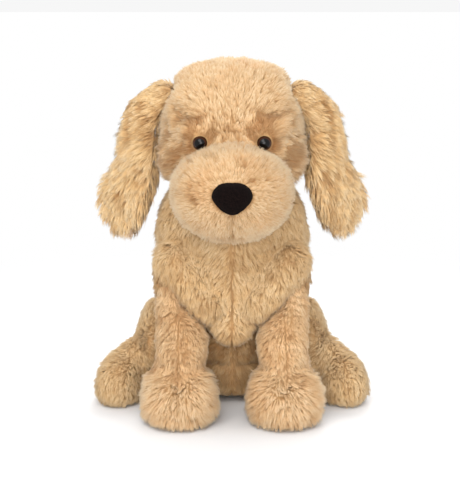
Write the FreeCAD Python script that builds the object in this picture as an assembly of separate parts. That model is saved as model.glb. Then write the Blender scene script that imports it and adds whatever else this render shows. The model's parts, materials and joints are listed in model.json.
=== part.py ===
import FreeCAD, Part
import math
import os
from FreeCAD import Vector

# A sitting plush dog, sewn from pile-fabric panels over soft stuffing.
# The dog faces -Y. Left and right are the dog's own, so left is +X.
# The origin is on the resting plane, under the chest, on the plane of symmetry.
# A fabric panel is drawn as thick as its backing and pile together, so its outer
# face is where the tips of the pile end.

# ---- driving dimensions, in millimetres and degrees ----
PILE_THICKNESS = 7.0      # torso and head panels, backing plus pile
LIMB_PILE = 6.0           # leg panels
TAIL_PILE = 4.0
FILL_CLEARANCE = 0.5      # between a panel and the stuffing inside it
SEAM_GAP = 0.5            # between two panels sewn edge to edge
BASE_SEAM_GAP = 1.2       # the seam that also holds the label
JOINT_GAP = 1.5           # between two parts that move on each other
SECTION_POINTS = 16
FAR = 400.0               # half size of a box that splits a part in two

# Stacks of horizontal elliptical sections: height, centre x, centre y, radius x, radius y
TORSO_SECTIONS = [
    (0, 0, 25, 50, 43),
    (6, 0, 24, 61, 51),
    (20, 0, 22, 67, 54),
    (40, 0, 19, 70, 57),
    (65, 0, 12, 70, 66),
    (92, 0, 8, 68, 62),
    (120, 0, 6, 65.5, 59.5),
    (137, 0, 5, 63, 57.5),
    (150, 0, 4, 62, 56.5),
    (163, 0, 4, 59, 53),
    (172, 0, 4, 54, 49),
]
HEAD_SECTIONS = [
    (177, 0, 2, 36, 34),
    (184, 0, 2, 50, 48),
    (196, 0, 1, 59, 55),
    (215, 0, 0, 62, 58),
    (240, 0, 0, 62, 58),
    (258, 0, 1, 59, 54),
    (272, 0, 2, 53, 46),
    (282, 0, 3, 44, 36),
    (290, 0, 4, 28, 23),
    (294, 0, 4, 9, 8),
]
FRONT_LEG_SECTIONS = [
    (0, 43, -68, 27, 25),
    (7, 43, -68, 33, 31),
    (22, 43, -68, 34.5, 32),
    (36, 43, -66, 31.5, 29),
    (50, 43.5, -62, 28, 26),
    (70, 44, -54, 27, 24),
    (90, 45, -42, 26, 24),
    (104, 45, -32, 24, 23),
]
# The flap of an ear is an ellipse at each height, turned about the vertical
EAR_SECTIONS = [
    (145, 91, 4, 9, 4),
    (151, 91.5, 4, 18, 7),
    (162, 91.5, 4, 27.5, 9),
    (178, 89, 4, 31.5, 9.5),
    (196, 83.5, 4, 30, 9.5),
    (217, 79.5, 4, 25.5, 9.5),
    (240, 76, 4, 21.5, 9),
    (251, 71.5, 4, 20, 8.5),
    (262, 67.5, 4, 17, 8),
    (269, 63, 4, 12, 7),
    (273, 59.5, 4, 6, 4),
]
EAR_TURN = 42.0

NECK_PIVOT = Vector(0, 4, 150)
NECK_BALL_RADIUS = 60.0
NECK_PLUG_RADIUS = 28.0
NECK_PLUG_FLOOR = 184.0

MUZZLE_CENTRE = Vector(0, -58, 190)
MUZZLE_RADII = Vector(52, 54, 42)
MUZZLE_BASE_Y = -50.0
MUZZLE_MARGIN = 1.0       # the muzzle panels reach this far past the muzzle's own form
MUZZLE_SEAM_Z = 196.0
GUSSET_HALF_WIDTH = 17.0
SIDE_SEAM_Y = 8.0         # the seam between front and back panels

NOSE_CENTRE = Vector(0, -108, 193.5)
NOSE_RADII = Vector(16.5, 9, 11.5)
NOSE_FELT = 1.2
NOSE_CLEARANCE = 0.4

EYE_CENTRE = Vector(26, -48.5, 229)
EYE_TURN = 16.0           # the eye looks outward by this much
EYE_RADIUS = 6.0
EYE_DOME_HEIGHT = 5.0
EYE_FLANGE = 1.0
PUPIL_RADIUS = 3.9
PUPIL_THICKNESS = 0.6
STEM_RADIUS = 2.2
STEM_LENGTH = 12.0
WASHER_RADIUS = 7.5
WASHER_THICKNESS = 1.5
WASHER_DEPTH = 2.8        # from the back of the iris plate's face to the washer
EYE_CLEARANCE = 0.2
EYE_SOCKET_CLEARANCE = 0.6

EAR_PIVOT = Vector(56, 4, 266)
EAR_ROOT_RADIUS = 7.5
EAR_ROOT_LENGTH = 22.0
EAR_LINING_GAP = 0.4

SHOULDER_PIVOT = Vector(45, -29, 106)
SHOULDER_RADIUS = 24.0
FRONT_LEG_SWING = 25.0    # how far a front leg swings forward, in degrees
SWING_STEPS = 2           # its socket is cut at rest and at this many steps of the swing
FRONT_LEG_SEAM_X = 44.0
SOLE_TOP = 8.0

HIP_PIVOT = Vector(66, 22, 46)
THIGH_RADII = Vector(22, 44, 44)
FOOT_CENTRE = Vector(94, -2, 20)
FOOT_RADII = Vector(25, 38, 26)
FOOT_TURN = 20.0          # the toes point outward
ANKLE_X = 79.0            # the thigh's filling meets the foot's here

TAIL_PIVOT = Vector(0, 80, 22)
TAIL_ROOT_RADIUS = 13.0
TAIL_CENTRE = Vector(0, 98, 22)
TAIL_RADII = Vector(13, 27, 13)

BASE_SEAM_Z = 7.0
BELLY_SEAM_Z = 38.0

POUCH_CENTRE = Vector(0, 24, 27)
POUCH_RADII = Vector(34, 30, 14)
POUCH_CLOTH = 1.2

LABEL_CORNER = Vector(-50, 52, 6.8)
LABEL_SIZE = Vector(22, 34, 0.4)

UP = Vector(0, 0, 1)
SIDEWAYS = Vector(1, 0, 0)
ORIGIN = Vector(0, 0, 0)


# ---- shape helpers: a positive inset makes a form smaller, a negative one larger ----
def section(height, centre_x, centre_y, radius_x, radius_y, turn):
    """A horizontal closed curve in the shape of an ellipse."""
    points = []
    for step in range(SECTION_POINTS):
        angle = 2 * math.pi * step / SECTION_POINTS
        along = radius_x * math.cos(angle)
        across = radius_y * math.sin(angle)
        points.append(Vector(
            centre_x + along * math.cos(turn) - across * math.sin(turn),
            centre_y + along * math.sin(turn) + across * math.cos(turn),
            height))
    curve = Part.BSplineCurve()
    curve.interpolate(points, PeriodicFlag=True)
    return Part.Wire([curve.toShape()])


def stack(rows, inset=0.0, turn=0.0):
    """A smooth solid through a list of elliptical sections."""
    low = rows[0][0]
    high = rows[-1][0]
    squeeze = (high - low - 2 * inset) / (high - low)
    wires = []
    for height, centre_x, centre_y, radius_x, radius_y in rows:
        wires.append(section(
            low + inset + (height - low) * squeeze, centre_x, centre_y,
            max(radius_x - inset, 1.0), max(radius_y - inset, 1.0), math.radians(turn)))
    return Part.makeLoft(wires, True, False)


def ellipsoid(centre, radii, inset=0.0, turn=0.0):
    matrix = FreeCAD.Matrix()
    matrix.scale(radii.x - inset, radii.y - inset, radii.z - inset)
    form = Part.makeSphere(1.0, ORIGIN, SIDEWAYS).transformGeometry(matrix)
    form.rotate(ORIGIN, UP, turn)
    form.translate(centre)
    return form


def ball(centre, radius):
    form = Part.makeSphere(radius)
    form.translate(centre)
    return form


def upright_cylinder(centre, radius, low, high):
    return Part.makeCylinder(radius, high - low, Vector(centre.x, centre.y, low), UP)


def within(shape, x=(-FAR, FAR), y=(-FAR, FAR), z=(-FAR, FAR)):
    """The part of a shape between limits along each axis."""
    box = Part.makeBox(x[1] - x[0], y[1] - y[0], z[1] - z[0], Vector(x[0], y[0], z[0]))
    return shape.common(box)


def below(limit):
    return (-FAR, limit - SEAM_GAP / 2)


def above(limit):
    return (limit + SEAM_GAP / 2, FAR)


def mirrored(shape):
    return shape.mirror(ORIGIN, SIDEWAYS)


def save(name, shape):
    """Write one node, keeping only its solids."""
    solids = shape.Solids
    result = solids[0] if len(solids) == 1 else Part.makeCompound(solids)
    result.exportStep("parts/" + name + ".step")
    print(f"{name:34s} solids {len(solids)} valid {result.isValid()} volume {result.Volume:.0f}")


def save_pair(name, left_shape):
    save(name.format("left"), left_shape)
    save(name.format("right"), mirrored(left_shape))


# ---- whole forms of the dog's parts ----
def front_leg_form(inset=0.0):
    shoulder = ball(SHOULDER_PIVOT, SHOULDER_RADIUS - inset)
    return stack(FRONT_LEG_SECTIONS, inset).fuse(shoulder)


def thigh_form(inset=0.0):
    return ellipsoid(HIP_PIVOT, THIGH_RADII, inset)


def foot_form(inset=0.0):
    foot = ellipsoid(FOOT_CENTRE, FOOT_RADII, inset, FOOT_TURN)
    return within(foot, z=(inset, FAR))


def tail_form(inset=0.0):
    root = ball(TAIL_PIVOT, TAIL_ROOT_RADIUS - inset)
    return root.fuse(ellipsoid(TAIL_CENTRE, TAIL_RADII, inset))


def neck_plug_form(inset=0.0):
    column = upright_cylinder(NECK_PIVOT, NECK_PLUG_RADIUS - inset,
                              NECK_PLUG_FLOOR + inset, NECK_PLUG_FLOOR + NECK_BALL_RADIUS)
    return column.common(ball(NECK_PIVOT, NECK_BALL_RADIUS - max(inset, 0.0)))


def neck_hole(grow):
    return upright_cylinder(NECK_PIVOT, NECK_PLUG_RADIUS + grow,
                            NECK_PLUG_FLOOR - grow, NECK_PLUG_FLOOR + NECK_BALL_RADIUS)


def swung_front_legs(grow):
    """A front leg at rest and at each step of its swing forward."""
    copies = []
    for step in range(SWING_STEPS + 1):
        leg = front_leg_form(-grow)
        leg.rotate(SHOULDER_PIVOT, SIDEWAYS, -FRONT_LEG_SWING * step / SWING_STEPS)
        copies.append(leg)
    return copies


def torso_form(inset=0.0):
    """The body with its shoulder, hip, tail and neck sockets."""
    grow = JOINT_GAP + inset
    form = stack(TORSO_SECTIONS, inset).fuse(ball(NECK_PIVOT, NECK_BALL_RADIUS - inset))
    sockets = [neck_hole(grow), tail_form(-grow)]
    for left_socket in swung_front_legs(grow) + [thigh_form(-grow), foot_form(-grow)]:
        sockets.append(left_socket)
        sockets.append(mirrored(left_socket))
    return form.cut(sockets)


def head_outline(inset=0.0):
    return stack(HEAD_SECTIONS, inset).fuse(ellipsoid(MUZZLE_CENTRE, MUZZLE_RADII, inset))


def ear_root(grow=0.0):
    start = EAR_PIVOT - Vector(0, EAR_ROOT_LENGTH / 2 + grow, 0)
    return Part.makeCylinder(EAR_ROOT_RADIUS + grow, EAR_ROOT_LENGTH + 2 * grow,
                             start, Vector(0, 1, 0))


def head_form(inset=0.0):
    """The head with the socket that sits on the neck and the two ear grooves."""
    grow = JOINT_GAP + inset
    groove = ear_root(grow)
    socket = ball(NECK_PIVOT, NECK_BALL_RADIUS + grow)
    return head_outline(inset).cut([socket, groove, mirrored(groove)])


def along_eye(shape):
    """Place a shape drawn about +Z so that +Z looks out of the left eye."""
    shape.rotate(ORIGIN, SIDEWAYS, 90)
    shape.rotate(ORIGIN, UP, EYE_TURN)
    shape.translate(EYE_CENTRE)
    return shape


def disc(radius, low, high):
    return Part.makeCylinder(radius, high - low, Vector(0, 0, low), UP)


def eye_cavity():
    """The space an eye and its washer need in the head."""
    front = disc(EYE_RADIUS + EYE_SOCKET_CLEARANCE,
                 -EYE_FLANGE - EYE_CLEARANCE, 4 * EYE_DOME_HEIGHT)
    hole = disc(STEM_RADIUS + EYE_CLEARANCE, -STEM_LENGTH, 0)
    back = disc(WASHER_RADIUS + EYE_SOCKET_CLEARANCE,
                -STEM_LENGTH - EYE_SOCKET_CLEARANCE, -WASHER_DEPTH + EYE_CLEARANCE)
    return along_eye(front.fuse(hole).fuse(back))


# ---- the pieces ----
def make_torso():
    shell = torso_form().cut(torso_form(PILE_THICKNESS))
    over_base = (BASE_SEAM_Z + BASE_SEAM_GAP / 2, FAR)
    belly_z = (over_base[0], BELLY_SEAM_Z - SEAM_GAP / 2)
    front = below(SIDE_SEAM_Y)
    back = above(SIDE_SEAM_Y)
    save_pair("chest_panel_{}", within(shell, above(0), front, above(BELLY_SEAM_Z)))
    save_pair("belly_panel_{}", within(shell, above(0), front, belly_z))
    save_pair("back_panel_{}", within(shell, above(0), back, over_base))
    save("base_panel", within(shell, z=(-FAR, BASE_SEAM_Z - BASE_SEAM_GAP / 2)))

    pouch = ellipsoid(POUCH_CENTRE, POUCH_RADII)
    pouch_space = ellipsoid(POUCH_CENTRE, POUCH_RADII, -FILL_CLEARANCE)
    pouch_hollow = ellipsoid(POUCH_CENTRE, POUCH_RADII, POUCH_CLOTH)
    save("torso_stuffing", torso_form(PILE_THICKNESS + FILL_CLEARANCE).cut(pouch_space))
    save("seat_weight_pouch", pouch.cut(pouch_hollow))
    save("seat_weight_pellets",
         ellipsoid(POUCH_CENTRE, POUCH_RADII, POUCH_CLOTH + FILL_CLEARANCE))
    save("blank_label", Part.makeBox(LABEL_SIZE.x, LABEL_SIZE.y, LABEL_SIZE.z, LABEL_CORNER))
    save("neck_stuffing", neck_plug_form())


def make_head():
    eyes = [eye_cavity(), mirrored(eye_cavity())]
    nose_space = ellipsoid(NOSE_CENTRE, NOSE_RADII, -NOSE_CLEARANCE)
    shell = head_form().cut(head_form(PILE_THICKNESS)).cut(eyes + [nose_space])
    muzzle_zone = ellipsoid(MUZZLE_CENTRE, MUZZLE_RADII, -MUZZLE_MARGIN)
    seam_zone = ellipsoid(MUZZLE_CENTRE, MUZZLE_RADII, -MUZZLE_MARGIN - SEAM_GAP)
    muzzle = shell.common(within(muzzle_zone, y=(-FAR, MUZZLE_BASE_Y)))
    skull = shell.cut(within(seam_zone, y=(-FAR, MUZZLE_BASE_Y + SEAM_GAP)))
    half_gusset = GUSSET_HALF_WIDTH - SEAM_GAP / 2
    save("head_gusset", within(skull, x=(-half_gusset, half_gusset)))
    save_pair("face_side_{}", within(skull, above(GUSSET_HALF_WIDTH), below(SIDE_SEAM_Y)))
    save_pair("head_back_{}", within(skull, above(GUSSET_HALF_WIDTH), above(SIDE_SEAM_Y)))
    save("muzzle_top", within(muzzle, z=above(MUZZLE_SEAM_Z)))
    save_pair("muzzle_lower_{}", within(muzzle, x=above(0), z=below(MUZZLE_SEAM_Z)))
    stuffing = head_form(PILE_THICKNESS + FILL_CLEARANCE)
    save("head_stuffing", stuffing.cut(eyes + [nose_space]))


def make_nose():
    cover = ellipsoid(NOSE_CENTRE, NOSE_RADII)
    save("nose_cover", cover.cut(ellipsoid(NOSE_CENTRE, NOSE_RADII, NOSE_FELT)))
    save("nose_padding", ellipsoid(NOSE_CENTRE, NOSE_RADII, NOSE_FELT + NOSE_CLEARANCE))


def make_eyes():
    iris = disc(EYE_RADIUS, -EYE_FLANGE, 0)
    pupil_top = EYE_CLEARANCE + PUPIL_THICKNESS
    pupil = disc(PUPIL_RADIUS, EYE_CLEARANCE, pupil_top)
    dome = ellipsoid(ORIGIN, Vector(EYE_RADIUS, EYE_RADIUS, EYE_DOME_HEIGHT))
    hollow = disc(PUPIL_RADIUS + EYE_CLEARANCE, -EYE_CLEARANCE, pupil_top + EYE_CLEARANCE)
    lens = within(dome, z=(EYE_CLEARANCE, FAR)).cut(hollow)
    stem = disc(STEM_RADIUS, -STEM_LENGTH, -EYE_FLANGE - EYE_CLEARANCE)
    washer_front = -WASHER_DEPTH
    washer = disc(WASHER_RADIUS, washer_front - WASHER_THICKNESS, washer_front)
    washer = washer.cut(disc(STEM_RADIUS + EYE_CLEARANCE, -STEM_LENGTH, 0))
    save_pair("eye_{}_lens", along_eye(lens))
    save_pair("eye_{}_pupil", along_eye(pupil))
    save_pair("eye_{}_iris", along_eye(iris))
    save_pair("eye_{}_stem", along_eye(stem))
    save_pair("eye_{}_washer", along_eye(washer))


def make_ears():
    flap = stack(EAR_SECTIONS, 0.0, EAR_TURN).cut(head_outline(-JOINT_GAP))
    ear = flap.fuse(ear_root())
    half = Part.makeBox(2 * FAR, FAR, 2 * FAR, Vector(-FAR, EAR_LINING_GAP / 2, -FAR))
    other_half = Part.makeBox(2 * FAR, FAR, 2 * FAR, Vector(-FAR, -FAR - EAR_LINING_GAP / 2, -FAR))
    for piece in (half, other_half):
        piece.rotate(ORIGIN, UP, EAR_TURN)
        piece.translate(Vector(EAR_SECTIONS[3][1], EAR_PIVOT.y, 0))
    save_pair("ear_{}_outer", ear.common(half))
    save_pair("ear_{}_lining", ear.common(other_half))


def make_front_legs():
    shell = front_leg_form().cut(front_leg_form(LIMB_PILE))
    save_pair("front_leg_{}_outer", within(shell, above(FRONT_LEG_SEAM_X), z=above(SOLE_TOP)))
    save_pair("front_leg_{}_inner", within(shell, below(FRONT_LEG_SEAM_X), z=above(SOLE_TOP)))
    save_pair("front_leg_{}_sole", within(shell, z=below(SOLE_TOP)))
    save_pair("front_leg_{}_stuffing", front_leg_form(LIMB_PILE + FILL_CLEARANCE))


def make_hind_legs():
    inner = LIMB_PILE
    shell = thigh_form().fuse(foot_form()).cut(thigh_form(inner).fuse(foot_form(inner)))
    thigh = shell.cut(foot_form(-SEAM_GAP))
    foot = shell.common(foot_form())
    save_pair("hind_leg_{}_thigh_outer", within(thigh, above(HIP_PIVOT.x)))
    save_pair("hind_leg_{}_thigh_inner", within(thigh, below(HIP_PIVOT.x)))
    save_pair("hind_leg_{}_foot_top", within(foot, z=above(SOLE_TOP)))
    save_pair("hind_leg_{}_sole", within(foot, z=below(SOLE_TOP)))
    fill = LIMB_PILE + FILL_CLEARANCE
    thigh_fill = within(thigh_form(fill), below(ANKLE_X))
    foot_fill = within(foot_form(fill), above(ANKLE_X))
    save_pair("hind_leg_{}_stuffing", Part.makeCompound([thigh_fill, foot_fill]))


def make_tail():
    shell = tail_form().cut(tail_form(TAIL_PILE))
    save("tail_upper", within(shell, z=above(TAIL_PIVOT.z)))
    save("tail_lower", within(shell, z=below(TAIL_PIVOT.z)))
    save("tail_stuffing", tail_form(TAIL_PILE + FILL_CLEARANCE))


os.makedirs("parts", exist_ok=True)
make_torso()
make_head()
make_nose()
make_eyes()
make_ears()
make_front_legs()
make_hind_legs()
make_tail()
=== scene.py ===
import itertools
import json
import math
from dataclasses import dataclass

import bmesh
import bpy
import numpy as np
from mathutils import Matrix, Vector
from mathutils.bvhtree import BVHTree
from mathutils.kdtree import KDTree


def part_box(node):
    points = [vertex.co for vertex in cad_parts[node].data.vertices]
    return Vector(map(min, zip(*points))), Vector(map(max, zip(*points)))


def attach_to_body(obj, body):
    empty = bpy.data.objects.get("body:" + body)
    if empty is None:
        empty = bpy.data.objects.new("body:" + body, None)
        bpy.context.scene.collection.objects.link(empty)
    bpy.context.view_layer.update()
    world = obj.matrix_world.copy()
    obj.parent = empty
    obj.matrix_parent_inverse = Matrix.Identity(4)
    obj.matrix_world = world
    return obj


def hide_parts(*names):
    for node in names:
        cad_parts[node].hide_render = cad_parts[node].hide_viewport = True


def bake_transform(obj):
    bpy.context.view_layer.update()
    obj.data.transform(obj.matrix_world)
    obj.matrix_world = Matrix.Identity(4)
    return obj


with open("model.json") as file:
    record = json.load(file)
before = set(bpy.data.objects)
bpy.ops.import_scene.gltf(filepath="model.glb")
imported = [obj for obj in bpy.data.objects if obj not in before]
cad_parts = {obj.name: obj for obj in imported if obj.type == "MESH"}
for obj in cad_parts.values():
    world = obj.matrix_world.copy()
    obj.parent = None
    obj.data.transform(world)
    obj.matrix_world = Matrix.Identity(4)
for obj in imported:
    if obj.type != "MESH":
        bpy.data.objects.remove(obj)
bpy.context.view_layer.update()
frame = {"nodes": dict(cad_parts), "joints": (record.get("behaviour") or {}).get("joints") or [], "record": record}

# A sitting plush dog. Each body is a stuffed cloth form, swollen by a cloth simulation
# and pinned along its seams. Pile is grown on it panel by panel as solid tapered strands
# in tufts. The dog faces -Y, and left is the dog's own left, on +X. Lengths are in
# metres, except that step, bell, hill, noise, Seam and Pile take theirs in millimetres.

MM = 0.001
RNG = np.random.default_rng(11)
SIDES = (("left", 1), ("right", -1))

# ---- how the cloth forms are made ----
VOXEL = 4.0 * MM
CLOTH_FRAMES = 20
CLOTH_PRESSURE = 4.0
SWELL_CAP = 2.5 * MM
SEAM_PIN = 3.5 * MM          # cloth this near a seam is held by it
SEAM_WIDTH = 3.2 * MM
PARTING_WIDTH = 3.6 * MM     # pile this near a seam is combed away from it
CLOTH_SHADING = 0.5          # how far a strand is lit as the cloth under it is
ROOT_DEPTH = 1.0 * MM        # strands start this far under the cloth
FLOOR_CLEARANCE = 0.3 * MM
SHORTEST_PILE = 3 * MM
SHORTEST_FREE = 2.5 * MM     # a strand with less room than this is left out
LONGEST_REACH = 14 * MM      # how far a strand looks for another body's cloth


# ---- places from the frame ----
def box(node):
    low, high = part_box(node)
    return np.array(low), np.array(high)


def centre(node):
    return sum(box(node)) / 2


JOINT_AT = {j["name"]: np.array(j["pos_m"]) for j in frame["joints"]}
SLOTS = {row["node"]: row["material_slot"] for row in frame["record"]["subparts"]}
NECK = JOINT_AT["head_turn"]
NOSE = centre("nose_cover")
NOSE_HALF = (box("nose_cover")[1] - box("nose_cover")[0]) / 2
NOSE_BOTTOM_Z = NOSE[2] - NOSE_HALF[2]
EYE = centre("eye_left_lens")
EYE_BACK = centre("eye_left_stem")
EYE_RADIUS = 6 * MM
CROWN_Z = box("head_gusset")[1][2]
GUSSET_X = box("head_gusset")[1][0]
SIDE_SEAM_Y = box("face_side_left")[1][1]
MUZZLE_LOW = np.minimum(box("muzzle_top")[0], box("muzzle_lower_right")[0])
MUZZLE_HIGH = box("muzzle_top")[1]
MUZZLE_HALF = np.array((MUZZLE_HIGH[0], MUZZLE_HIGH[0] * 1.04, (MUZZLE_HIGH[2] - MUZZLE_LOW[2]) / 2))
MUZZLE = np.array((0, MUZZLE_LOW[1] + MUZZLE_HALF[1], (MUZZLE_HIGH[2] + MUZZLE_LOW[2]) / 2))
MUZZLE_SEAM_Z = box("muzzle_top")[0][2]
BELLY_SEAM_Z = box("chest_panel_left")[0][2]
BASE_SEAM_Z = box("base_panel")[1][2]
SHOULDER = JOINT_AT["front_leg_left_swing"]
LEG_SEAM_X = box("front_leg_left_outer")[0][0]
PAW = centre("front_leg_left_sole")
SOLE_TOP = box("front_leg_left_sole")[1][2]
HIP = JOINT_AT["hind_leg_left_swing"]
FOOT = centre("hind_leg_left_foot_top")
EAR_ROOT = JOINT_AT["ear_left_lift"]
TAIL_ROOT = JOINT_AT["tail_wag"]


# ---- small numeric helpers ----
def unit(vectors):
    return vectors / np.maximum(np.linalg.norm(vectors, axis=-1, keepdims=True), 1e-9)


def smooth(low, high, value):
    """0 below low, 1 above high, and a smooth step between."""
    t = np.clip((value - low) / (high - low), 0, 1)
    return t * t * (3 - 2 * t)


def step(start, end, value, base=0.0):
    """A smooth step of a length, from 0 at start to 1 at end, in millimetres past a base."""
    return smooth(base + start * MM, base + end * MM, value)


def bell(value, middle, width):
    """1 where a length is at its middle, falling off over a width, both in millimetres."""
    return np.exp(-((value - middle * MM) / (width * MM)) ** 2)


def hill(points, at, radius):
    """1 at a place, falling off smoothly around it over a radius in millimetres."""
    return np.exp(-((points - at) ** 2).sum(1) / (radius * MM) ** 2)


LATTICE = RNG.random((32, 32, 32)) * 2 - 1


def noise(points, size):
    """Smooth noise between -1 and 1 with features of a size in millimetres."""
    cell = points / (size * MM) + 500.0
    base = np.floor(cell).astype(int)
    part = cell - base
    part = part * part * (3 - 2 * part)
    total = np.zeros(len(points))
    for corner in itertools.product((0, 1), repeat=3):
        at = (base + corner) % 32
        weight = np.where(corner, part, 1 - part).prod(1)
        total += weight * LATTICE[at[:, 0], at[:, 1], at[:, 2]]
    return total


# ---- meshes ----
def link(name, mesh):
    piece = bpy.data.objects.new(name, mesh)
    bpy.context.scene.collection.objects.link(piece)
    return piece


def applied(piece):
    """Make a piece's modifiers part of its mesh."""
    graph = bpy.context.evaluated_depsgraph_get()
    mesh = bpy.data.meshes.new_from_object(piece.evaluated_get(graph))
    piece.modifiers.clear()
    piece.data = mesh
    return piece


def modified(piece, kind, **settings):
    modifier = piece.modifiers.new(kind, kind)
    for key, value in settings.items():
        setattr(modifier, key, value)
    return applied(piece)


def read_rows(items, what):
    values = np.zeros(len(items) * 3, np.float32)
    items.foreach_get(what, values)
    return values.reshape(-1, 3).astype(float)


def coords(mesh):
    return read_rows(mesh.vertices, "co")


def normals(mesh):
    return read_rows(mesh.vertex_normals, "vector")


def place(mesh, points):
    mesh.vertices.foreach_set("co", points.astype(np.float32).ravel())
    mesh.update()


def biggest_island(mesh):
    """Drop every loose part but the one with the most vertices."""
    form = bmesh.new()
    form.from_mesh(mesh)
    unseen = set(form.verts)
    islands = []
    while unseen:
        rim = {unseen.pop()}
        island = set(rim)
        while rim:
            rim = {vert for seen in rim for edge in seen.link_edges for vert in edge.verts} - island
            island |= rim
        unseen -= island
        islands.append(island)
    keep = max(islands, key=len)
    bmesh.ops.delete(form, geom=list(set(form.verts) - keep), context="VERTS")
    form.to_mesh(mesh)
    form.free()


def form_from(name, nodes, balls=(), voxel=VOXEL, rounds=8):
    """One closed mesh around CAD nodes and filler balls, as (centre, radius)."""
    form = bmesh.new()
    for node in nodes:
        form.from_mesh(frame["nodes"][node].data)
    for at, radius in balls:
        bmesh.ops.create_icosphere(form, subdivisions=4, radius=radius, matrix=Matrix.Translation(at))
    mesh = bpy.data.meshes.new(name)
    form.to_mesh(mesh)
    form.free()
    piece = modified(link(name, mesh), "REMESH", mode="VOXEL", voxel_size=voxel)
    biggest_island(piece.data)
    return modified(piece, "SMOOTH", factor=0.5, iterations=rounds)


# ---- seams ----
X, Y, Z = 0, 1, 2


@dataclass
class Seam:
    """A seam in a plane across an axis, over part of a form."""
    axis: int
    offset: float
    where: object = None          # the seam's weight at points, or None for the whole plane
    depth: float = 2.0            # how far it draws the cloth in, in millimetres
    parting: float = 0.7          # how strongly it parts the pile

    def side(self, points):
        return points[:, self.axis] - self.offset

    def near(self, points, width):
        weight = np.exp(-(self.side(points) / width) ** 2)
        return weight if self.where is None else weight * self.where(points)


def strongest(seams, weights):
    """The greatest of the seams' weights at each point, or 0 without seams."""
    return np.max([weights(seam) for seam in seams], axis=0) if seams else 0.0


def simulated(piece, held):
    """Where a form's points go in a cloth simulation with pressure, held by weights."""
    group = piece.vertex_groups.new(name="held")
    for index, weight in enumerate(held):
        group.add([index], float(weight), "REPLACE")
    cloth = piece.modifiers.new("cloth", "CLOTH").settings
    cloth.vertex_group_mass = "held"
    cloth.use_pressure = True
    cloth.uniform_pressure_force = CLOTH_PRESSURE
    cloth.effector_weights.gravity = 0
    cloth.quality = 4
    scene = bpy.context.scene
    for number in range(1, CLOTH_FRAMES + 1):
        scene.frame_set(number)
    applied(piece)
    scene.frame_set(1)
    piece.vertex_groups.clear()
    return coords(piece.data)


def swell(piece, seams):
    """Fill a form out, up to a cap, and draw it in along its seams."""
    rest = coords(piece.data)
    held = strongest(seams, lambda seam: seam.near(rest, SEAM_PIN)) + np.zeros(len(rest))
    moved = simulated(piece, held) - rest
    far = np.linalg.norm(moved, axis=1, keepdims=True)
    moved *= np.minimum(1, SWELL_CAP / np.maximum(far, 1e-9))
    place(piece.data, rest + moved)
    points = coords(piece.data)
    pull = strongest(seams, lambda seam: seam.depth * MM * seam.near(points, SEAM_WIDTH))
    place(piece.data, points - normals(piece.data) * np.reshape(pull, (-1, 1)))


def refine(piece):
    modified(piece, "SUBSURF", levels=1, render_levels=1)
    piece.data.shade_smooth()


# ---- pile ----
def sample_cloth(mesh, per_mm2):
    """Random points on a mesh with their normals."""
    mesh.calc_loop_triangles()
    triangles = np.zeros(len(mesh.loop_triangles) * 3, np.int32)
    mesh.loop_triangles.foreach_get("vertices", triangles)
    triangles = triangles.reshape(-1, 3)
    points = coords(mesh)
    facing = normals(mesh)
    corners = points[triangles]
    areas = np.linalg.norm(np.cross(corners[:, 1] - corners[:, 0],
                                    corners[:, 2] - corners[:, 0]), axis=1) / 2
    count = int(areas.sum() / MM ** 2 * per_mm2)
    chosen = RNG.choice(len(areas), count, p=areas / areas.sum())
    spread = np.sqrt(RNG.random(count))
    across = RNG.random(count)
    weights = np.stack([1 - spread, spread * (1 - across), spread * across], 1)
    at = (corners[chosen] * weights[:, :, None]).sum(1)
    normal = unit((facing[triangles[chosen]] * weights[:, :, None]).sum(1))
    return at, normal


def groups(points, count):
    """Random points as the middles of groups, and each point's group."""
    middles = RNG.choice(len(points), count, replace=False)
    tree = KDTree(count)
    for index, point in enumerate(points[middles]):
        tree.insert(point, index)
    tree.balance()
    return middles, np.array([tree.find(point)[1] for point in points])


def curl_path(points, normal, comb, length, lean):
    """Root, two points between and tip of strands that lean over along their comb direction."""
    path = [points]
    for share, bend in ((0.38, 0.45), (0.34, 1.0), (0.28, 1.35)):
        angle = np.clip(lean * bend, -1.5, 1.5)[:, None]
        way = normal * np.cos(angle) + comb * np.sin(angle)
        path.append(path[-1] + way * (length * share)[:, None])
    return np.stack([points - normal * ROOT_DEPTH] + path[1:], 1)


def spindles(path, radius, rings):
    """Solid strands: a point under the cloth, one or two rings of three corners, and a tip."""
    count = len(path)
    along = unit(path[:, 3] - path[:, 0])
    side = unit(np.cross(along, unit(RNG.normal(size=(count, 3)))))
    other = np.cross(along, side)
    if rings == 1:
        levels = ((0.6 * path[:, 1] + 0.4 * path[:, 2], 1.0, 0.48),)
    else:
        levels = ((path[:, 1], 1.0, 0.36), (path[:, 2], 0.75, 0.7))
    outs = [math.cos(turn) * side + math.sin(turn) * other
            for turn in (0, 2 * math.pi / 3, 4 * math.pi / 3)]
    corners = [middle + out * (radius * thickness)[:, None]
               for middle, thickness, _ in levels for out in outs]
    verts = np.stack([path[:, 0]] + corners + [path[:, 3]], 1)
    tip = 3 * rings + 1
    faces = []
    for corner in range(3):
        after = (corner + 1) % 3
        faces += [(0, 1 + after, 1 + corner), (tip - 3 + corner, tip - 3 + after, tip)]
        for first in range(1, tip - 3, 3):
            faces += [(first + corner, first + after, first + after + 3),
                      (first + corner, first + after + 3, first + corner + 3)]
    faces = np.array(faces)[None] + (np.arange(count) * (tip + 1))[:, None, None]
    heights = [0.0] + [height for _, _, height in levels for _ in range(3)] + [1.0]
    return verts.reshape(-1, 3), faces.reshape(-1, 3), np.array(heights)


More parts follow.
